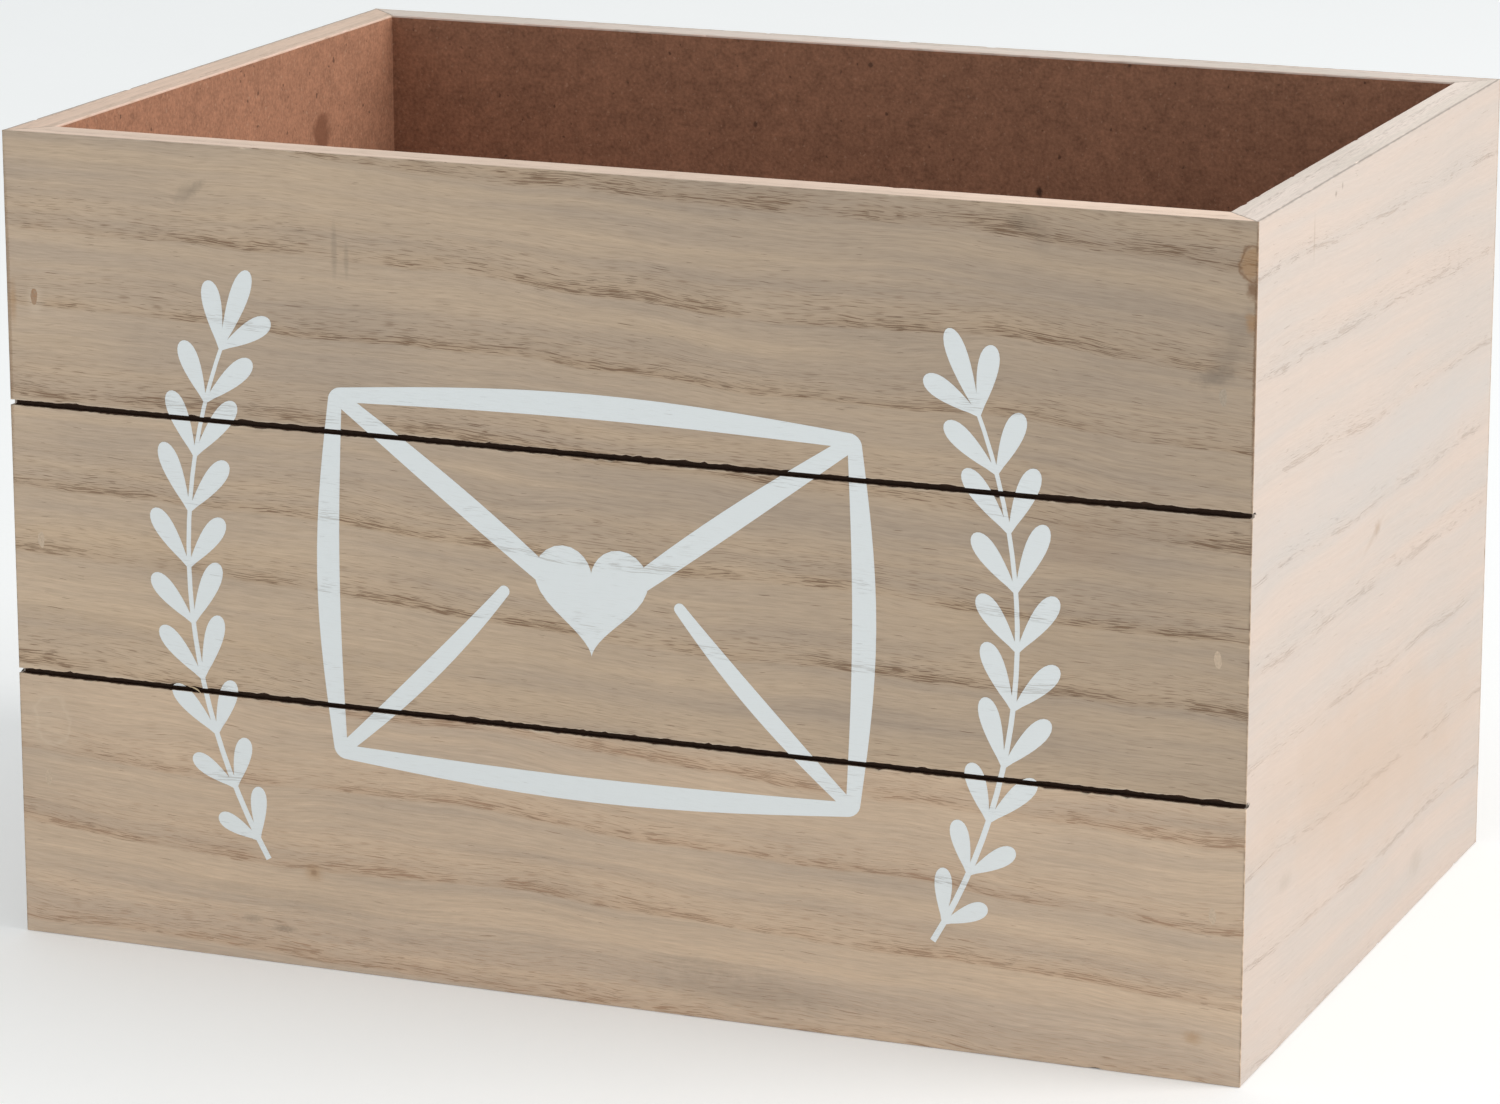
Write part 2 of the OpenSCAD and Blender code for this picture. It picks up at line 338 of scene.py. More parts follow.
SMUDGE = rgb(0.20, 0.16, 0.125)
DARK_SMUDGE = rgb(0.11, 0.09, 0.07)
RUST = rgb(0.42, 0.22, 0.085)
BROWN = rgb(0.19, 0.085, 0.03)
PALE = rgb(0.72, 0.58, 0.44)
AMBER = rgb(0.60, 0.42, 0.25)

# Stains and smudges on the front, measured from its lower left corner
FRONT_MARKS = [
    Mark((46.5, 180.5), (5, 3), SMUDGE, 0.3, 0.8, 0.8, turn=35),
    Mark((49.5, 182), (4.4, 1.8), SMUDGE, 0.32, 0.8, 0.8, turn=40),
    Mark((84, 170), (1.3, 11), SMUDGE, 0.26, 0.6),
    Mark((87, 168), (1.1, 7), SMUDGE, 0.25, 0.6),
    Mark((248, 188), (6, 3), DARK_SMUDGE, 0.3, 0.9, 0.8),
    Mark((252, 185), (4, 5), SMUDGE, 0.2, 0.8, 0.8),
    Mark((295, 164), (15, 5), SMUDGE, 0.3, 0.9, 0.9, turn=65),
    Mark((291, 158), (7, 3), SMUDGE, 0.42, 0.8, 0.9, turn=20),
    Mark((298.8, 183), (5, 7), RUST, 0.5, 0.3, 0.5),
    Mark((298.8, 183), (5.4, 7.6), BROWN, 0.6, 0.2, 0.5, hollow=0.2),
    Mark((299.2, 177.4), (2.6, 3.6), BROWN, 0.7, 0.6, 0.7),
    Mark((299.4, 170), (3, 4), RUST, 0.6, 0.6, 0.8),
    Mark((300, 160), (1.0, 50), BROWN, 0.6, 0.5, 0.9),
    Mark((1.5, 152), (1.6, 8), RUST, 0.4, 0.8),
    Mark((7.4, 153), (3.6, 6), PALE, 0.4, 0.7),
    Mark((0.4, 150), (1.0, 60), BROWN, 0.35, 0.5, 0.9),
    Mark((8.5, 52.5), (9, 11), PALE, 0.3, 0.1, 0.5, hollow=0.18),
    Mark((6, 50), (12, 16), PALE, 0.14, 0.6, 0.6),
    Mark((28, 96), (80, 8), AMBER, 0.14, 0.9, 0.8, turn=-2),
    Mark((60, 76), (90, 7), AMBER, 0.18, 0.9, 0.8, turn=-2),
    Mark((14, 140), (36, 9), AMBER, 0.08, 0.9, 0.8, turn=-2),
    Mark((250, 96), (70, 9), AMBER, 0.1, 0.9, 0.8, turn=-2),
    Mark((76, 23), (4, 3.4), RUST, 0.35, 0.7),
    Mark((76, 23), (1.4, 1.4), BROWN, 0.35, 0.6),
    Mark((68, 8.5), (5, 1.4), DARK_SMUDGE, 0.36, 0.8, 0.8),
    Mark((60, 10), (4, 1.6), DARK_SMUDGE, 0.25, 0.8, 0.8),
    Mark((76, 16), (44, 5), SMUDGE, 0.14, 0.9, 0.8),
    Mark((184, 7), (36, 6), SMUDGE, 0.2, 0.9, 0.9),
    Mark((172, 12), (22, 3), DARK_SMUDGE, 0.14, 0.9, 0.9),
    Mark((289, 10), (3.4, 2.6), RUST, 0.4, 0.8, 0.6),
    Mark((262, 118), (20, 8), RUST, 0.12, 0.9),
]


VENEER_ROUGHNESS = 0.62
# Light tone of the front's arrises, worn wood and a painted highlight, and its soiled tone
FRONT_WEAR_AND_HIGHLIGHT = rgb(0.74, 0.62, 0.48)
FRONT_SOILED = rgb(0.16, 0.11, 0.07)
# Colours of the lower plank, which is a redder and softer veneer than the two above it
LOWER_WARM = rgb(0.605, 0.453, 0.323)
LOWER_TINT = rgb(0.53, 0.335, 0.205)
LOWER_PORE = rgb(0.35, 0.205, 0.125)
UPPER_WARM = rgb(0.60, 0.452, 0.32)


def front_wood():
    """Wood that gets warmer and paler towards the bottom, and darker to the upper right."""
    shader = Shader("front veneer")
    grain = Grain()
    along = shader.math("SUBTRACT", shader.x, LEFT / MM)
    share = shader.times(along, MM / (RIGHT - LEFT))
    raised = shader.times(shader.z, MM / BOX_H)
    above = shader.rise(shader.z, FRONT_HIGH.z / MM, FRONT_HIGH.z / MM + 1.0)
    warmth = shader.total(
        shader.rise(raised, 0.1, 1.0, 0.72, 0.42), shader.rise(shader.z, 6.0, 22.0, -0.4, 0.0)
    )
    grain.warm = shader.blend(above, LOWER_WARM, UPPER_WARM)
    grain.tint = shader.blend(above, LOWER_TINT, grain.tint)
    grain.pore = shader.blend(above, LOWER_PORE, grain.pore)
    colour, height = wood(shader, shader.x, shader.z, grain, warmth)
    tone = shader.total(
        1.06,
        shader.times(raised, -0.065),
        shader.times(share, above, -0.18),
        shader.rise(shader.z, 4.0, 24.0, 0.10, 0.0),
    )
    colour = shader.marked(shader.toned(colour, tone), along, shader.z, FRONT_MARKS)
    colour = shader.edges(colour, FRONT_WEAR_AND_HIGHLIGHT, FRONT_SOILED)
    return shader.finish(colour, VENEER_ROUGHNESS, height)


class SideGrain(Grain):
    """Paler and calmer wood, with wide soft bands and thin broken rings."""

    tilt = 0.025
    ring = 22.0
    big_bend = 5.0
    small_bend = 0.5
    jitter = 0.06
    core = 0.06
    zone = 0.3
    contrast = 0.36
    ring_tint = 0.11
    pore_share = 0.24
    fine_share = 0.05
    grey = rgb(0.51, 0.451, 0.405)
    warm = rgb(0.54, 0.446, 0.383)
    tint = rgb(0.46, 0.345, 0.265)
    pore = rgb(0.33, 0.22, 0.15)


COOL_BAND = rgb(0.47, 0.45, 0.43)
WARM_BAND = rgb(0.50, 0.375, 0.285)
KNOT = rgb(0.36, 0.26, 0.19)
KNOT_LINE = rgb(0.38, 0.28, 0.20)
GREY_STAIN = rgb(0.36, 0.30, 0.24)
DARK_SPOT = rgb(0.22, 0.17, 0.13)
SCRATCH = rgb(0.38, 0.30, 0.23)

# Soft bands and stains on the right wall: centre and size along the wall and up
RIGHT_SIDE_MARKS = [
    Mark((0, 118), (240, 15), COOL_BAND, 0.5, 0.9, 0.4),
    Mark((2, 47), (150, 30), WARM_BAND, 0.6, 0.95, 0.6, turn=-6),
    Mark((0, 103), (4, 3), KNOT, 0.5, 0.8, 0.8),
    Mark((-3, 102), (14, 1.6), KNOT_LINE, 0.3, 0.8, 0.6, turn=20),
    Mark((41.5, 11), (10, 5), GREY_STAIN, 0.35, 0.9, 0.8),
    Mark((-68, 38), (8, 3), GREY_STAIN, 0.32, 0.9, 0.8),
    Mark((-41, 188), (1.4, 1.2), DARK_SPOT, 0.55, 0.6, 0.6),
    Mark((-36, 189), (1.0, 1.4), DARK_SPOT, 0.5, 0.6, 0.6),
    Mark((-57, 181), (0.8, 9), SCRATCH, 0.5, 0.6, 0.4),
]


def side_wood(name, seed, marks):
    """Side veneer that gets a little darker towards the rear."""
    shader = Shader(name)
    grain = SideGrain()
    grain.seed = seed
    colour, height = wood(shader, shader.y, shader.z, grain)
    tone = shader.rise(shader.y, -90.0, 90.0, 1.0, 0.965)
    colour = shader.marked(shader.toned(colour, tone), shader.y, shader.z, marks)
    colour = shader.edges(colour, rgb(0.68, 0.60, 0.53), rgb(0.20, 0.15, 0.11))
    return shader.finish(colour, VENEER_ROUGHNESS, height)


class RimGrain(Grain):
    """Narrow strips of straight-grained solid wood."""

    tilt = 0.0
    big_bend = 1.5
    ring = 6.0
    contrast = 0.8
    ring_tint = 0.22
    pore_share = 0.2
    fine_share = 0.2


# Darker and lighter colour of each rim strip, which are four different pieces of wood
RIM_COLOURS = {
    "front": (rgb(0.77, 0.59, 0.465), rgb(0.85, 0.64, 0.515)),
    "left": (rgb(0.72, 0.54, 0.42), rgb(0.82, 0.595, 0.465)),
    "right": (rgb(0.78, 0.68, 0.595), rgb(0.85, 0.725, 0.645)),
    "rear": (rgb(0.71, 0.62, 0.54), rgb(0.80, 0.66, 0.585)),
}

# Where along each strip it starts and stops getting lighter, in mm, and by how much
RIM_LIFT = {
    "front": (20, 110, 1.16),
    "left": (-80, 80, 1.04),
    "right": (-60, 90, 1.08),
    "rear": (-120, 60, 1.06),
}


def rim_wood(side):
    """One rim strip, which gets lighter along its length."""
    shader = Shader(f"rim wood {side}")
    grain = RimGrain()
    grain.seed = 60.0 + 4 * list(RIM_COLOURS).index(side)
    grain.grey, grain.warm = RIM_COLOURS[side]
    grain.tint = shade(grain.grey, 0.8)
    along, across = (shader.x, shader.y) if side in ("front", "rear") else (shader.y, shader.x)
    colour, height = wood(shader, along, across, grain)
    start, stop, lift = RIM_LIFT[side]
    tone = shader.rise(along, start, stop, 1.0, lift)
    colour = shader.toned(colour, tone)
    # Light tone at the strip's arrises: worn wood and a painted highlight; then the soiled tone
    colour = shader.edges(colour, rgb(0.85, 0.62, 0.52), rgb(0.22, 0.17, 0.125))
    return shader.finish(colour, 0.6, height)


# ---- Fibreboard, paint and small parts ----


BOARD = rgb(0.39, 0.19, 0.114)
DARK_FIBRE = rgb(0.09, 0.045, 0.03)
PALE_FIBRE = rgb(0.55, 0.33, 0.22)
OIL = rgb(0.19, 0.075, 0.04)
BLACK_SPECK = rgb(0.03, 0.015, 0.01)
SCORCH = rgb(0.028, 0.014, 0.008)
# How far behind the front face the saw's scorching starts to fade and ends, in mm
SCORCH_DEPTH = (2.3, 2.6)

# Stains on the inner faces of the left and rear walls: centre and size along the wall and up
LEFT_WALL_MARKS = [
    Mark((48, 168), (9, 10), OIL, 0.75, 0.35, 0.6),
    Mark((44, 160), (6, 5), OIL, 0.6, 0.4, 0.6),
]
REAR_WALL_MARKS = [
    Mark((36, 158), (1.6, 2.4), BLACK_SPECK, 0.8, 0.5, 0.4),
    Mark((58, 146), (1.1, 1.3), BLACK_SPECK, 0.7, 0.5, 0.4),
    Mark((-40, 170), (1.0, 1.4), BLACK_SPECK, 0.6, 0.5, 0.4),
    Mark((-124, 160), (3, 12), rgb(0.20, 0.09, 0.055), 0.18, 0.7, 0.6),
]


def fibreboard(name, painted_light_level=1.0, along="x", marks=()):
    """Bare fibreboard: fine speckle, faint mottling, dark specks, and burnt saw cuts in the front."""
    shader = Shader(name)

    def grain(per_mm, reach, detail):
        return shader.swing(shader.scaled(per_mm), reach, detail)

    fine = grain(1.1, 1.0, 3.0)
    middle = grain(0.33, 1.0, 3.0)
    wide = grain(0.045, 1.0, 2.0)
    # painted_light_level lightens or darkens a whole wall's board: painted light and shade
    tone = shader.total(
        painted_light_level, shader.times(fine, 0.45), shader.times(middle, 0.32), shader.times(wide, 0.12)
    )
    colour = shader.toned(BOARD, tone)
    specks = shader.rise(grain(0.5, 1.0, 1.0), 0.42, 0.56)
    colour = shader.blend(shader.times(specks, 0.7), colour, DARK_FIBRE)
    pale = shader.rise(grain(0.8, 1.0, 1.0), 0.30, 0.5)
    colour = shader.blend(shader.times(pale, 0.4), colour, PALE_FIBRE)
    colour = shader.marked(colour, shader.y if along == "y" else shader.x, shader.z, marks)
    front_end, rear_end = (FRONT_Y / MM + depth for depth in SCORCH_DEPTH)
    burnt = shader.rise(shader.y, front_end, rear_end, 0.93, 0.0)
    colour = shader.blend(burnt, colour, SCORCH)
    return shader.finish(colour, 0.75, fine, 0.04, 0.25)


def paint():
    """White paint that the wood's deepest pores show through."""
    shader = Shader("white paint")
    grain = Grain()
    bent, shifted, inside, patchy = wood_rings(shader, shader.x, shader.z, grain)
    big, fine, _, _ = wood_pores(shader, shader.x, bent, shifted, inside, patchy, grain)
    thin = shader.total(shader.times(big, 0.34), shader.times(fine, 0.06))
    colour = shader.blend(thin, rgb(0.83, 0.86, 0.865), rgb(0.36, 0.30, 0.24))
    height = shader.total(shader.times(big, -1.0), shader.times(fine, -0.4))
    return shader.finish(colour, 0.55, height, 0.03)


PUTTY = rgb(0.60, 0.46, 0.335)
UPPER_PUTTY = rgb(0.45, 0.36, 0.275)
DARK_PUTTY = rgb(0.41, 0.235, 0.13)


def filler():
    """Putty near the wood's own colour; the patch at the upper left of the front is dark."""
    shader = Shader("wood filler")
    speckle = shader.swing(shader.scaled(2.0), 1.0, 3.0)
    tone = shader.total(1.0, shader.times(speckle, 0.3))
    left = shader.rise(shader.x, -100.0, -90.0, 1.0, 0.0)
    top = shader.rise(shader.z, 120.0, 130.0)
    base = shader.blend(top, PUTTY, UPPER_PUTTY)
    colour = shader.toned(base, tone)
    front = shader.rise(shader.y, -50.0, -40.0, 1.0, 0.0)
    old = shader.times(left, top, front, shader.total(0.7, speckle))
    colour = shader.blend(old, colour, DARK_PUTTY)
    return shader.finish(colour, 0.7, speckle, 0.03)


def steel():
    """Drawn wire, with fine lines along the brad."""
    shader = Shader("brad steel")
    lines = shader.vector(
        shader.times(shader.x, 8.0), shader.times(shader.y, 0.6), shader.times(shader.z, 8.0)
    )
    drawn = shader.swing(lines, 1.0, 2.0)
    tone = shader.total(1.0, shader.times(drawn, 0.2))
    colour = shader.toned(rgb(0.55, 0.54, 0.52), tone)
    return shader.finish(colour, 0.38, drawn, 0.01, 0.5, 1.0)


# ---- Thin sheets with worn edges ----


def arris(away, radius):
    """How far a rounded edge lies below the face at a distance from the edge."""
    if away >= radius:
        return 0.0
    return radius - math.sqrt(radius**2 - (radius - away) ** 2)


def inset(corners, away):
    """The corners of a four-sided outline, all sides moved inwards; corners run anticlockwise."""
    moved = []
    count = len(corners)
    for i in range(count):
        before, here, after = corners[i - 1], corners[i], corners[(i + 1) % count]
        into = (here - before).normalized()
        out = (after - here).normalized()
        turn = into.x * out.y - into.y * out.x
        moved.append(here + (out - into) * (away / turn))
    return moved


class Edge:
    """How one side of a sheet looks: its raggedness and chips, and the tone of its arris."""

    def __init__(self, ragged=0.0, chips=0, wear_and_highlight=0.0, soiled=0.0, round_off=0.12, nicks=()):
        self.ragged = ragged * MM
        self.chips = chips
        self.wear_and_highlight = wear_and_highlight
        self.soiled = soiled
        self.round_off = round_off * MM
        self.nicks = nicks


# Distances of a sheet's rings from its edge, in mm; raggedness fades out at the last one
RING_STEPS = [0.0, 0.03, 0.08, 0.15, 0.3, 0.6, 1.2, 2.6]
FADE = RING_STEPS[-1] * MM
# Spacing of the stations along an edge, and the lengths over which it wanders
STATION = 0.9 * MM
FINE_WANDER = 1.3 * MM
SLOW_WANDER = 9 * MM
# Raggedness and chips die away this close to a corner
CALM_END = 3 * MM
# Width of the steep end of a nick
NICK_END = 0.02 * MM
# Distance from the edge over which the light tone, worn wood and a painted highlight, and the soiled
# tone fade, in mm
TONE_REACH = 0.35


def edge_profile(edge, length, seed):
    """Stations along one side: (share, shift inwards, size of the chip there)."""
    draw = random.Random(seed)
    chips = []
    for _ in range(edge.chips):
        middle = draw.uniform(0.02, 0.98) * length
        reach = draw.uniform(0.5, 2.0) * MM
        depth = draw.uniform(0.12, 0.4) * MM
        chips.append((middle, reach, depth))
    count = max(2, round(length / STATION))
    places = {i / count for i in range(count)}
    for low, high, _ in edge.nicks:
        places |= {at / length for at in (low - NICK_END, low, high, high + NICK_END)}
    stations = []
    for share in sorted(places):
        at = share * length
        rough = noise.noise(Vector((at / FINE_WANDER, seed, 0.5)))
        slow = noise.noise(Vector((at / SLOW_WANDER, seed, 4.5)))
        calm = min(1.0, at / CALM_END, (length - at) / CALM_END)
        shift = edge.ragged * calm * (0.6 * abs(rough) + 0.4 * abs(slow))
        chip = 0.0
        for middle, reach, depth in chips:
            chip = max(chip, depth * calm * max(0.0, 1 - ((at - middle) / reach) ** 2))
        for low, high, depth in edge.nicks:
            if low <= at <= high:
                shift += depth
        stations.append((share, shift + 0.6 * chip, chip))
    return stations


def sheet(name, corners, origin, across, up, thickness, edges, seed):
    """A flat sheet with rounded, ragged arrises on its face and a plain back.

    corners are (u, v) pairs anticlockwise seen from outside, u along across and v along up,
    both from origin, which lies in the face. The back lies thickness behind the face.
    """
    across, up = Vector(across), Vector(up)
    out = across.cross(up)
    mesh = bmesh.new()
    # Per-vertex shares of the light edge tone, which is wear and a painted highlight, and of the
    # soiled tone
    wear_and_highlight = mesh.verts.layers.float.new("wear_and_highlight")
    soiled = mesh.verts.layers.float.new("soiled")
    corners = [Vector(c) for c in corners]
    count = len(corners)
    profiles = []
    for i, edge in enumerate(edges):
        length = (corners[(i + 1) % count] - corners[i]).length
        profiles.append(edge_profile(edge, length, seed + 10.7 * i))

    def ring(away, depth_of, tone):
        verts = []
        moved = inset(corners, away)
        for i, profile in enumerate(profiles):
            start, end = moved[i], moved[(i + 1) % count]
            along = (end - start).normalized()
            inward = Vector((-along.y, along.x))
            edge = edges[i]
            for share, shift, chip in profile:
                place = start.lerp(end, share) + inward * (shift * (1 - away / FADE))
                depth = depth_of(away, edge, chip)
                vert = mesh.verts.new(origin + across * place.x + up * place.y - out * depth)
                speck = 0.55 + 0.9 * noise.noise(Vector((share * 90, seed + i, 2.5)))
                vert[wear_and_highlight] = min(1.0, max(0.0, edge.wear_and_highlight * speck * tone + (chip > 0) * tone * 0.4))
                vert[soiled] = min(1.0, max(0.0, edge.soiled * (1.2 - speck) * tone))
                verts.append(vert)
        return verts

    def face_depth(away, edge, chip):
        return min(thickness * 0.8, arris(away, edge.round_off + chip))

    rings = [ring(0.0, lambda *_: thickness, 0.0)]
    for step in RING_STEPS:
        rings.append(ring(step * MM, face_depth, max(0.0, 1 - step / TONE_REACH)))
    for outer, inner in zip(rings, rings[1:]):
        for i in range(len(outer)):
            j = (i + 1) % len(outer)
            mesh.faces.new([outer[i], outer[j], inner[j], inner[i]])
    mesh.faces.new(rings[-1])
    mesh.faces.new(list(reversed(rings[0])))
    return mesh_object(name, mesh)


def rectangle(width, height):
    return [(0, 0), (width, 0), (width, height), (0, height)]


def finish_piece(piece, node, material):
    piece.data.materials.append(material)
    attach(piece, "root")
    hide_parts(node)


# ---- Veneers and rim ----

# The light tone on the groove arrises is chipped wood and a painted highlight
GROOVE_EDGE = Edge(ragged=0.5, chips=26, wear_and_highlight=0.7, round_off=0.14)
CORNER_EDGE = Edge(ragged=0.04, wear_and_highlight=0.1, soiled=0.8, round_off=0.14)
TOP_EDGE = Edge(ragged=0.1, chips=3, wear_and_highlight=0.2, soiled=0.25, round_off=0.12)
UNDER_EDGE = Edge(ragged=0.1, chips=3, wear_and_highlight=0.1, soiled=0.2, round_off=0.15)


def front_planks():
    """Three planks, each with ragged edges where it meets a groove."""
    material = front_wood()
    lower_edges = {"lower": UNDER_EDGE, "middle": GROOVE_EDGE, "upper": GROOVE_EDGE}
    upper_edges = {"lower": GROOVE_EDGE, "middle": GROOVE_EDGE, "upper": TOP_EDGE}
    for index, level in enumerate(("lower", "middle", "upper")):
        node = f"front_plank_{level}"
        low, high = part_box(node)
        edges = [lower_edges[level], CORNER_EDGE, upper_edges[level], CORNER_EDGE]
        outline = rectangle(high.x - low.x, high.z - low.z)
        piece = sheet(
            f"plank_{level}", outline, low, (1, 0, 0), UP, high.y - low.y, edges, 20.0 + index
        )
        finish_piece(piece, node, material)


# How far the grooves run on behind the front planks
GROOVE_RUN = 1.4 * MM


def groove_nicks(low):
    """Where the grooves cut into the front end of a side veneer, measured up from its foot."""
    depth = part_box("front_plank_lower")[1].y + GROOVE_RUN - low.y
    nicks = []
    for below, above in (("lower", "middle"), ("middle", "upper")):
        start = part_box(f"front_plank_{below}")[1].z - low.z
        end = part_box(f"front_plank_{above}")[0].z - low.z
        nicks.append((start, end, depth))
    return nicks


def flipped(nicks, length):
    """The same nicks measured from the other end of the edge."""
    return [(length - high, length - low, depth) for low, high, depth in nicks]


def side_veneers():
    """Left and right veneers, whose front ends show the veneer's thickness and the grooves."""
    for side, node in ((-1, "left_veneer"), (1, "right_veneer")):
        low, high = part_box(node)
        width, height = high.y - low.y, high.z - low.z
        nicks = groove_nicks(low)
        plain = Edge(ragged=0.05, chips=1, wear_and_highlight=0.3, soiled=0.15)
        if side > 0:
            origin = Vector((high.x, low.y, low.z))
            across = (0, 1, 0)
            front = Edge(ragged=0.04, wear_and_highlight=0.6, nicks=flipped(nicks, height))
            edges = [UNDER_EDGE, plain, TOP_EDGE, front]
        else:
            origin = Vector((low.x, high.y, low.z))
            across = (0, -1, 0)
            front = Edge(ragged=0.04, wear_and_highlight=0.6, nicks=nicks)
            edges = [UNDER_EDGE, front, TOP_EDGE, plain]
        marks = RIGHT_SIDE_MARKS if side > 0 else ()
        material = side_wood(f"{node} wood", 33.0 + 9 * side, marks)
        name = "veneer_right" if side > 0 else "veneer_left"
        outline = rectangle(width, height)
        piece = sheet(name, outline, origin, across, UP, high.x - low.x, edges, 40.0 + side)
        finish_piece(piece, node, material)


def rear_wood():
    """Plain veneer of the same kind as the front."""
    shader = Shader("rear veneer wood")
    grain = Grain()
    grain.seed = 77.0
    colour, height = wood(shader, shader.x, shader.z, grain)
    colour = shader.edges(colour, FRONT_WEAR_AND_HIGHLIGHT, FRONT_SOILED)
    return shader.finish(colour, VENEER_ROUGHNESS, height)


def rear_sheet():
    low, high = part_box("rear_veneer")
    origin = Vector((high.x, high.y, low.z))
    edges = [UNDER_EDGE, CORNER_EDGE, TOP_EDGE, CORNER_EDGE]
    outline = rectangle(high.x - low.x, high.z - low.z)
    piece = sheet("veneer_rear", outline, origin, (-1, 0, 0), UP, high.y - low.y, edges, 50.0)
    finish_piece(piece, "rear_veneer", rear_wood())


def rim_bands():
    """Four mitred strips; each outline runs along the outer side first."""
    outer = Edge(ragged=0.2, soiled=0.3, round_off=0.12)
    # The inner arris carries the strongest light tone: worn wood and a painted highlight where it
    # catches the lamp
    inner = Edge(ragged=0.14, chips=4, wear_and_highlight=0.9, round_off=0.25)
    mitre = Edge(ragged=0.05, soiled=0.9, round_off=0.12)
    # Each strip's direction along the wall, and the direction into the box
    turns = {
        "front": ((1, 0, 0), (0, 1, 0)),
        "right": ((0, 1, 0), (-1, 0, 0)),
        "rear": ((-1, 0, 0), (0, -1, 0)),
        "left": ((0, -1, 0), (1, 0, 0)),
    }
    for index, (side, (across, into)) in enumerate(turns.items()):
        node = f"rim_band_{side}"
        low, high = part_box(node)
        middle = (low + high) / 2
        length = (high.x - low.x) if side in ("front", "rear") else (high.y - low.y)
        origin = Vector((middle.x, middle.y, high.z))
        origin -= Vector(across) * length / 2 + Vector(into) * WALL / 2
        outline = [(0, 0), (length, 0), (length - WALL, WALL), (WALL, WALL)]
        edges = [outer, mitre, inner, mitre]
        piece = sheet(
            f"rim_{side}", outline, origin, across, into, high.z - low.z, edges, 60.0 + index
        )
        finish_piece(piece, node, rim_wood(side))


# ---- Putty patches and splinter ----


PUTTY_RISE = 0.045 * MM
PUTTY_SINK = 0.01 * MM
PUTTY_REACH = (0.95, 2.1)
# From the putty's box to a brad: in from the ends, and from the top and bottom
BRAD_IN = 0.6 * MM
BRAD_END = 1.5 * MM


def putty_patch(mesh, centre, out, seed):
    """A low ragged dome of putty over one brad, a little wider than its head."""
    across = Vector(UP).cross(out)
    rings, steps = 5, 28
    top = mesh.verts.new(centre + out * PUTTY_RISE)
    levels = [[top]]
    for ring in range(1, rings + 1):
        share = ring / rings
        level = []
        for step in range(steps):
            turn = 2 * math.pi * step / steps
            ragged = 1 + 0.28 * noise.noise(Vector((math.cos(turn), math.sin(turn), seed)))
            oval = Vector((PUTTY_REACH[0] * math.cos(turn), PUTTY_REACH[1] * math.sin(turn)))
            reach = oval * MM * ragged * share
            rise = PUTTY_RISE * (1 - share**3) - PUTTY_SINK
            place = centre + across * reach.x + Vector((0, 0, reach.y)) + out * rise
            level.append(mesh.verts.new(place))
        levels.append(level)
    for step in range(steps):
        after = (step + 1) % steps
        mesh.faces.new([top, levels[1][step], levels[1][after]])
        for inner, outer in zip(levels[1:], levels[2:]):
            mesh.faces.new([inner[step], outer[step], outer[after], inner[after]])
    mesh.faces.new(list(reversed(levels[-1])))


def mesh_object(name, mesh):
    bmesh.ops.recalc_face_normals(mesh, faces=mesh.faces)
    data = bpy.data.meshes.new(name)
    mesh.to_mesh(data)
    mesh.free()
    piece = bpy.data.objects.new(name, data)
    bpy.context.scene.collection.objects.link(piece)
    return piece


def putty_patches():
    """Putty on the front and the rear, over each brad of the CAD model."""
    material = filler()
    for end, out in (("front", Vector((0, -1, 0))), ("rear", Vector((0, 1, 0)))):
        node = f"{end}_brad_filler"
        low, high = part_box(node)
        face = low.y if end == "front" else high.y
        middle, reach = (low.z + high.z) / 2, (high.z - low.z) / 2 - BRAD_END
        mesh = bmesh.new()
        for x in (low.x + BRAD_IN, high.x - BRAD_IN):
            for level in (-1, 0, 1):
                putty_patch(mesh, Vector((x, face, middle + level * reach)), out, 7 * x / MM + level)
        piece = mesh_object(f"{end}_putty", mesh)
        finish_piece(piece, node, material)


def splinter():
    """A torn fibre that lies across the lower groove near the left."""
    shader = Shader("torn fibre")
    lines = shader.vector(shader.times(shader.x, 3.0), shader.times(shader.z, 6.0))
    fibres = shader.swing(lines, 1.0)
    tone = shader.total(1.0, shader.times(fibres, 0.3))
    colour = shader.toned(rgb(0.72, 0.56, 0.36), tone)
    material = shader.finish(colour, 0.6)
    groove = (FRONT_HIGH.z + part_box("front_plank_middle")[0].z) / 2
    start = Vector((LEFT + 44.5 * MM, FRONT_Y, groove + 0.7 * MM))
    mesh = bmesh.new()
    steps, sides = 14, 6
    rings = []
    for step in range(steps + 1):
        share = step / steps
        bow = math.sin(math.pi * share)
        middle = start + Vector((3.4 * share, -0.05 + 0.5 * bow, -1.5 * share + 0.2 * bow)) * MM
        radius = (0.03 + 0.17 * bow) * MM
        ring = []
        for side in range(sides):
            turn = 2 * math.pi * side / sides
            spoke = Vector((0.3, math.cos(turn), math.sin(turn)))
            ring.append(mesh.verts.new(middle + spoke * radius))
        rings.append(ring)
    for ring, following in zip(rings, rings[1:]):
        for side in range(sides):
            after = (side + 1) % sides
            mesh.faces.new([ring[side], ring[after], following[after], following[side]])
    mesh.faces.new(rings[0])
    mesh.faces.new(rings[-1])
    piece = mesh_object("groove_splinter", mesh)
    piece.data.materials.append(material)
    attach(piece, "root")


# ---- CAD nodes that stay ----


def cover(node, material):
    """Gives a CAD node its material."""
    piece = NODES[node]
    if piece.material_slots:
        for slot in piece.material_slots:
            slot.material = material
    else:
        piece.data.materials.append(material)


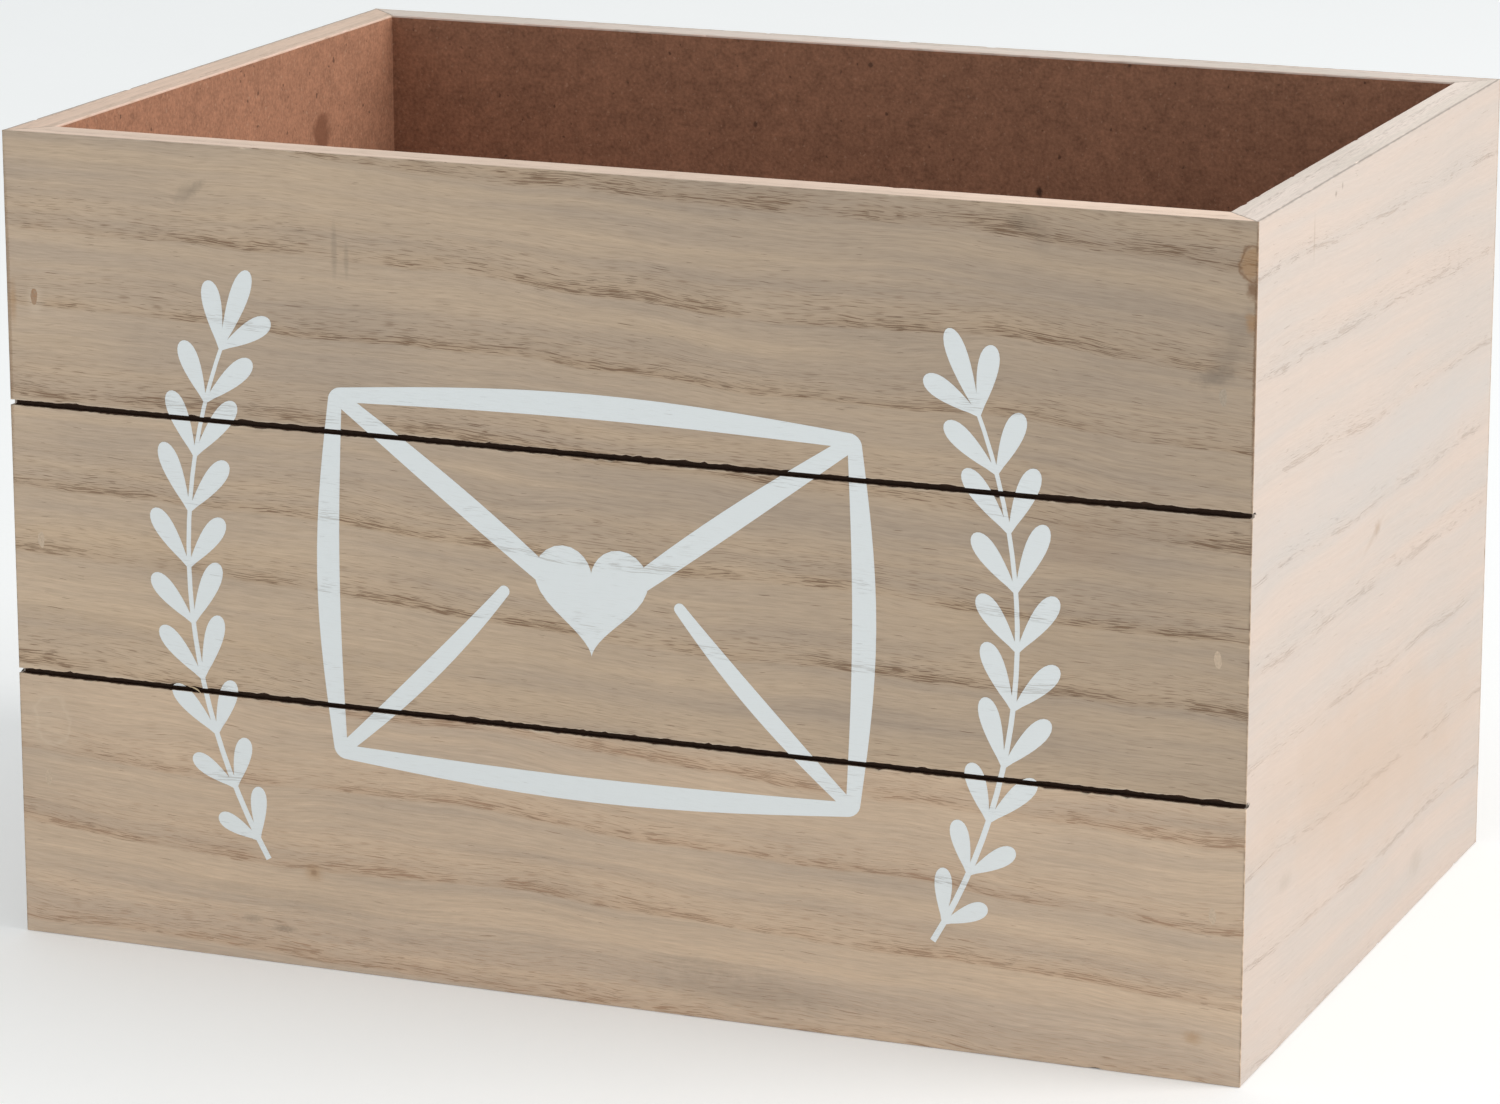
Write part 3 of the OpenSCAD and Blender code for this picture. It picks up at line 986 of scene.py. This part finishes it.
def dress_cad_nodes():
    board = fibreboard("fibreboard")
    for node in ("front_core", "right_core", "floor_panel"):
        cover(node, board)
    # The left wall's board is painted 3 % lighter and the rear wall's 13 % darker: painted light and
    # painted shade on one board
    cover("left_core", fibreboard("fibreboard left", 1.03, "y", LEFT_WALL_MARKS))
    cover("rear_core", fibreboard("fibreboard rear", 0.87, "x", REAR_WALL_MARKS))
    white = paint()
    for node in ("sprig_left", "sprig_right", "envelope_motif"):
        cover(node, white)
    metal = steel()
    for node in ("front_brads", "rear_brads"):
        cover(node, metal)


# ---- Floor, lights and camera ----


FLOOR_WHITE = 0.92
FLOOR_GLOW = 0.13
FLOOR_HALF = 6.0
FLOOR_GAP = 0.1 * MM


def floor():
    """A white sheet that glows slightly, just under the box."""
    shader = Shader("floor")
    grain = shader.swing(shader.scaled(0.01), 1.0)
    tone = shader.total(FLOOR_WHITE, shader.times(grain, 0.01))
    material = shader.finish(shader.vector(tone, tone, tone), 0.8)
    surface = material.node_tree.nodes["Principled BSDF"]
    surface.inputs["Emission Color"].default_value = rgb(1.0, 1.0, 1.0)
    surface.inputs["Emission Strength"].default_value = FLOOR_GLOW
    mesh = bpy.data.meshes.new("floor")
    turns = ((-1, -1), (1, -1), (1, 1), (-1, 1))
    corners = [(x * FLOOR_HALF, y * FLOOR_HALF, -FLOOR_GAP) for x, y in turns]
    mesh.from_pydata(corners, [], [(0, 1, 2, 3)])
    mesh.materials.append(material)
    plane = bpy.data.objects.new("floor", mesh)
    bpy.context.scene.collection.objects.link(plane)


SKY_COLOUR = rgb(0.955, 1.0, 1.01)
SKY_STRENGTH = 0.685
KEY_COLOUR = (1.0, 0.95, 0.92)
KEY_PLACE = (2.3, 0.35, 1.15)
KEY_SIZE = 1.6
KEY_WATTS = 45.0


def lights():
    """A cool even surround, and one large soft lamp to the right."""
    world = bpy.data.worlds.new("studio")
    bpy.context.scene.world = world
    world.use_nodes = True
    background = world.node_tree.nodes["Background"]
    background.inputs["Color"].default_value = SKY_COLOUR
    background.inputs["Strength"].default_value = SKY_STRENGTH
    key = bpy.data.lights.new("key", "AREA")
    key.size = KEY_SIZE
    key.energy = KEY_WATTS
    key.color = KEY_COLOUR
    lamp = bpy.data.objects.new("key", key)
    lamp.location = KEY_PLACE
    aim = Vector((0, 0, BOX_H / 2)) - lamp.location
    lamp.rotation_euler = aim.to_track_quat("-Z", "Y").to_euler()
    bpy.context.scene.collection.objects.link(lamp)
    bpy.context.scene.view_settings.view_transform = "Standard"


CAMERA_PLACE = (0.4952, -1.2403, 0.4186)
CAMERA_AZIMUTH = 21.97
CAMERA_ELEVATION = 14.09
CAMERA_LENS = 137.9
CAMERA_SENSOR = 36.0


def camera():
    """The camera stands to the right of the front and looks down on the box."""
    azimuth, elevation = math.radians(CAMERA_AZIMUTH), math.radians(CAMERA_ELEVATION)
    data = bpy.data.cameras.new("camera")
    data.lens = CAMERA_LENS
    data.sensor_width = CAMERA_SENSOR
    data.clip_start, data.clip_end = 0.05, 50
    view = bpy.data.objects.new("camera", data)
    view.location = CAMERA_PLACE
    view.rotation_euler = (math.pi / 2 - elevation, 0, azimuth)
    bpy.context.scene.collection.objects.link(view)
    bpy.context.scene.camera = view


camera()
floor()
lights()
front_planks()
side_veneers()
rear_sheet()
rim_bands()
putty_patches()
splinter()
dress_cad_nodes()
